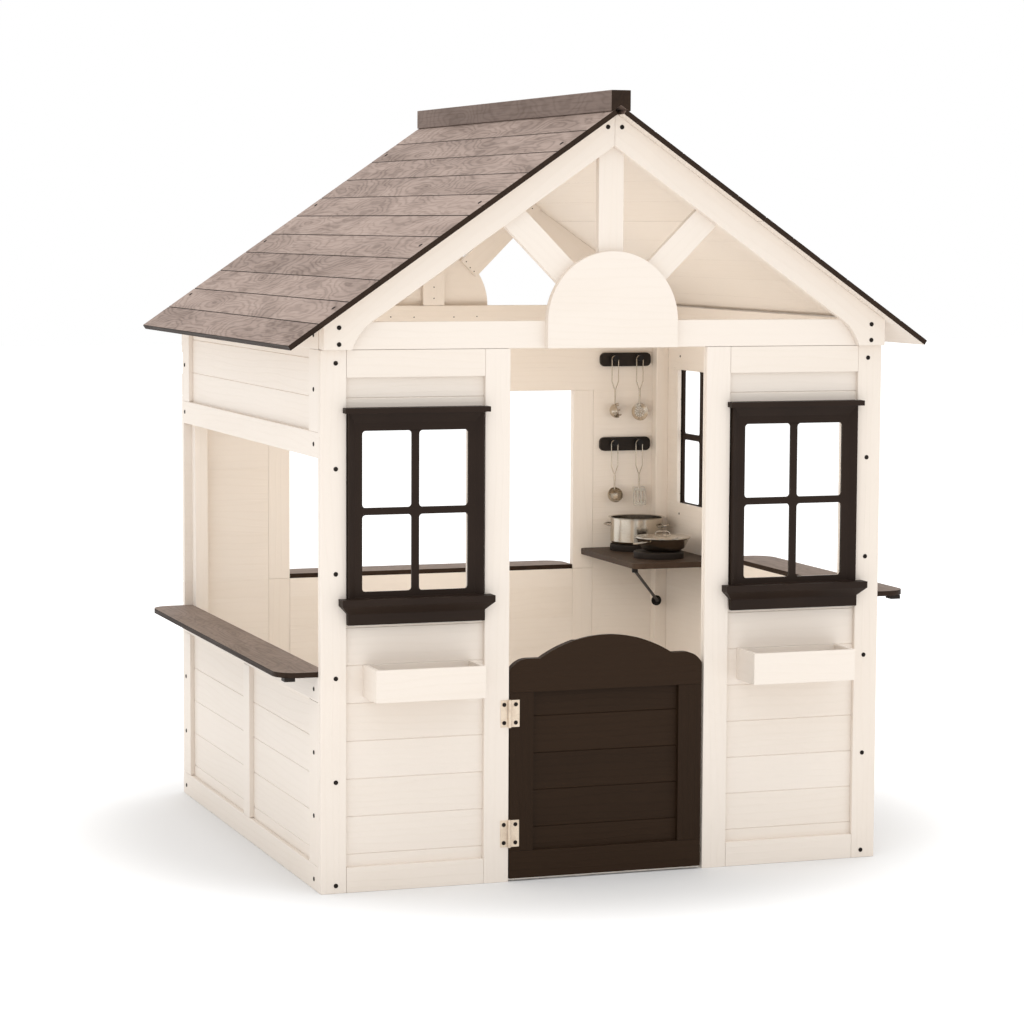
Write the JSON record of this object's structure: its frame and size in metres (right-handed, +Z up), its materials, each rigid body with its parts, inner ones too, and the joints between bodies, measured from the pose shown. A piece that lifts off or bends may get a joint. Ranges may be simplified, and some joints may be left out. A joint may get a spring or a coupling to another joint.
{
  "type": "wooden playhouse",
  "caption": "Child-size wooden playhouse with plank walls, sunburst gables, boarded roof, serving counters, hinged half door and play kitchen.",
  "frame": {"origin": "on the ground, at the centre of the overall footprint (counters and flower boxes included), which is also the walls' own centre", "axes": "+Z up, -Y is the front with the door, +X is the side with the window and the play kitchen (the viewer's right, seen from the front)"},
  "size_m": [1.554, 1.504, 1.8],
  "materials": {
    "cream_paint": "opaque warm-white stain on planed softwood, grain and knots just showing, soft satin",
    "dark_stain": "opaque dark brown stain on planed softwood, soft satin",
    "window_plastic": "dark brown moulded plastic, fine satin texture",
    "roof_stain": "taupe semi-opaque stain on planed boards, darker grain showing, edges dark",
    "ridge_stain": "taupe-brown stain on a squared timber, sawn end dark",
    "counter_stain": "taupe-brown stain, rounded edges",
    "kitchen_stain": "near-black brown stain, satin",
    "utensil_steel": "brushed stainless steel",
    "pot_steel": "stainless steel, turned and lightly brushed",
    "black_rod": "black powder coat",
    "hinge_finish": "ivory-gold lacquer",
    "dark_screw": "blackened, button head"
  },
  "bodies": {
    "house": {"corner_posts": "cream_paint", "front_left_frame": "cream_paint", "front_left_planks": "cream_paint", "front_right_frame": "cream_paint", "front_right_planks": "cream_paint", "left_wall_frame": "cream_paint", "left_wall_planks": "cream_paint", "right_wall_frame": "cream_paint", "right_wall_planks": "cream_paint", "back_wall_frame": "cream_paint", "back_wall_planks": "cream_paint", "front_gable_beam": "cream_paint", "front_gable_rafters": "cream_paint", "front_gable_struts": "cream_paint", "front_gable_half_round": "cream_paint", "back_gable_beam": "cream_paint", "back_gable_rafters": "cream_paint", "back_gable_struts": "cream_paint", "back_gable_half_round": "cream_paint", "roof_left_upper": "roof_stain", "roof_left_lower": "roof_stain", "roof_right_upper": "roof_stain", "roof_right_lower": "roof_stain", "ridge_cap": "ridge_stain", "front_left_window": "window_plastic", "front_right_window": "window_plastic", "side_window": "window_plastic", "front_left_flower_box": "cream_paint", "front_right_flower_box": "cream_paint", "left_counter": "counter_stain", "right_counter": "counter_stain", "back_counter": "counter_stain", "counter_blocks": "kitchen_stain", "kitchen_shelf": "kitchen_stain", "burner_discs": "kitchen_stain", "shelf_stay_rod": "black_rod", "hook_rails": "kitchen_stain", "hooks": "black_rod", "front_wall_screws": "dark_screw", "side_wall_screws": "dark_screw", "gable_screws": "dark_screw", "inner_screws": "dark_screw", "roof_screws": "dark_screw", "hinge_jamb_leaves": "hinge_finish", "hinge_pins": "hinge_finish", "hinge_jamb_screws": "dark_screw"},
    "door": {"door_frame": "dark_stain", "door_planks": "dark_stain", "hinge_door_leaves": "hinge_finish", "hinge_door_screws": "dark_screw"},
    "pasta_spoon": {"pasta_spoon": "utensil_steel"},
    "skimmer": {"skimmer": "utensil_steel"},
    "ladle": {"ladle": "utensil_steel"},
    "turner": {"turner": "utensil_steel"},
    "pot": {"pot": "pot_steel", "pot_handles": "pot_steel"},
    "pan": {"pan": "pot_steel", "pan_handle": "pot_steel"},
    "lid": {"lid": "pot_steel", "lid_handle": "pot_steel"}
  },
  "joints": [
    {"name": "door_hinge", "type": "hinge", "parent": "house", "child": "door", "pos_m": [-0.2395, -0.6642, 0.2505], "axis": [0, 0, -1], "range_deg": [0, 115]},
    {"name": "pasta_spoon_swing", "type": "hinge", "parent": "house", "child": "pasta_spoon", "pos_m": [0.512, 0.615, 1.136], "axis": [0, 1, 0], "range_deg": [-5, 5]},
    {"name": "skimmer_swing", "type": "hinge", "parent": "house", "child": "skimmer", "pos_m": [0.584, 0.615, 1.136], "axis": [0, 1, 0], "range_deg": [-5, 5]},
    {"name": "ladle_swing", "type": "hinge", "parent": "house", "child": "ladle", "pos_m": [0.512, 0.615, 0.905], "axis": [0, 1, 0], "range_deg": [-5, 5]},
    {"name": "turner_swing", "type": "hinge", "parent": "house", "child": "turner", "pos_m": [0.584, 0.615, 0.905], "axis": [0, 1, 0], "range_deg": [-5, 5]},
    {"name": "pot_lift", "type": "slide", "parent": "house", "child": "pot", "axis": [0, -0.8, 0.6], "range_m": [0, 0.1]},
    {"name": "pan_lift", "type": "slide", "parent": "house", "child": "pan", "axis": [0, 0, 1], "range_m": [0, 0.15]},
    {"name": "lid_lift", "type": "slide", "parent": "pan", "child": "lid", "axis": [0, 0, 1], "range_m": [0, 0.1]}
  ]
}
